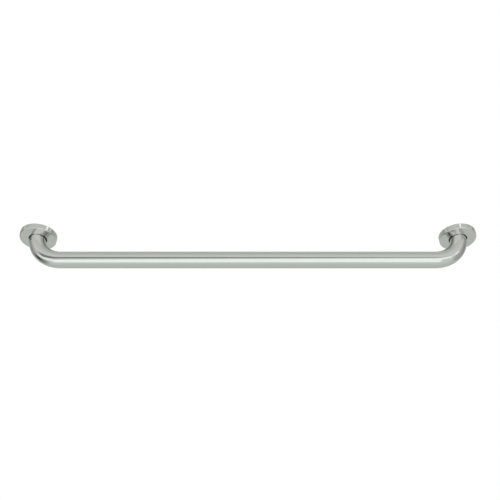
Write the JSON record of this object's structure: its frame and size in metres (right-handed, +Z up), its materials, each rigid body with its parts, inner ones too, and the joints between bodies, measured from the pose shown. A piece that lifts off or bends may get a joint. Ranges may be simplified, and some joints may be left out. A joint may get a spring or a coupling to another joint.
{
  "type": "grab rail",
  "caption": "Straight wall grab rail: a stainless tube bent at both ends, with concealed screws under round push-fit covers.",
  "frame": {"origin": "on the wall plane, midway between the two flanges", "axes": "+X along the bar, +Y into the wall, +Z up; the rail stands out towards -Y"},
  "size_m": [0.8828, 0.0869, 0.07],
  "materials": {
    "tube_steel": "polished stainless steel",
    "cover_steel": "polished pressed stainless steel",
    "flange_steel": "mill finish stainless steel",
    "weld_metal": "brushed-down stainless weld",
    "screw_steel": "plain stainless steel"
  },
  "bodies": {
    "root": {"grab_tube": "tube_steel", "left_mounting_flange": "flange_steel", "left_weld_bead": "weld_metal", "left_screw_inner": "screw_steel", "left_screw_upper": "screw_steel", "left_screw_lower": "screw_steel", "right_mounting_flange": "flange_steel", "right_weld_bead": "weld_metal", "right_screw_inner": "screw_steel", "right_screw_upper": "screw_steel", "right_screw_lower": "screw_steel"},
    "left_cover": {"left_flange_cover": "cover_steel"},
    "right_cover": {"right_flange_cover": "cover_steel"}
  },
  "joints": [
    {"name": "left_cover_slide", "type": "slide", "parent": "root", "child": "left_cover", "axis": [0, -1, 0], "range_m": [0, 0.007]},
    {"name": "right_cover_slide", "type": "slide", "parent": "root", "child": "right_cover", "axis": [0, -1, 0], "range_m": [0, 0.007]}
  ]
}
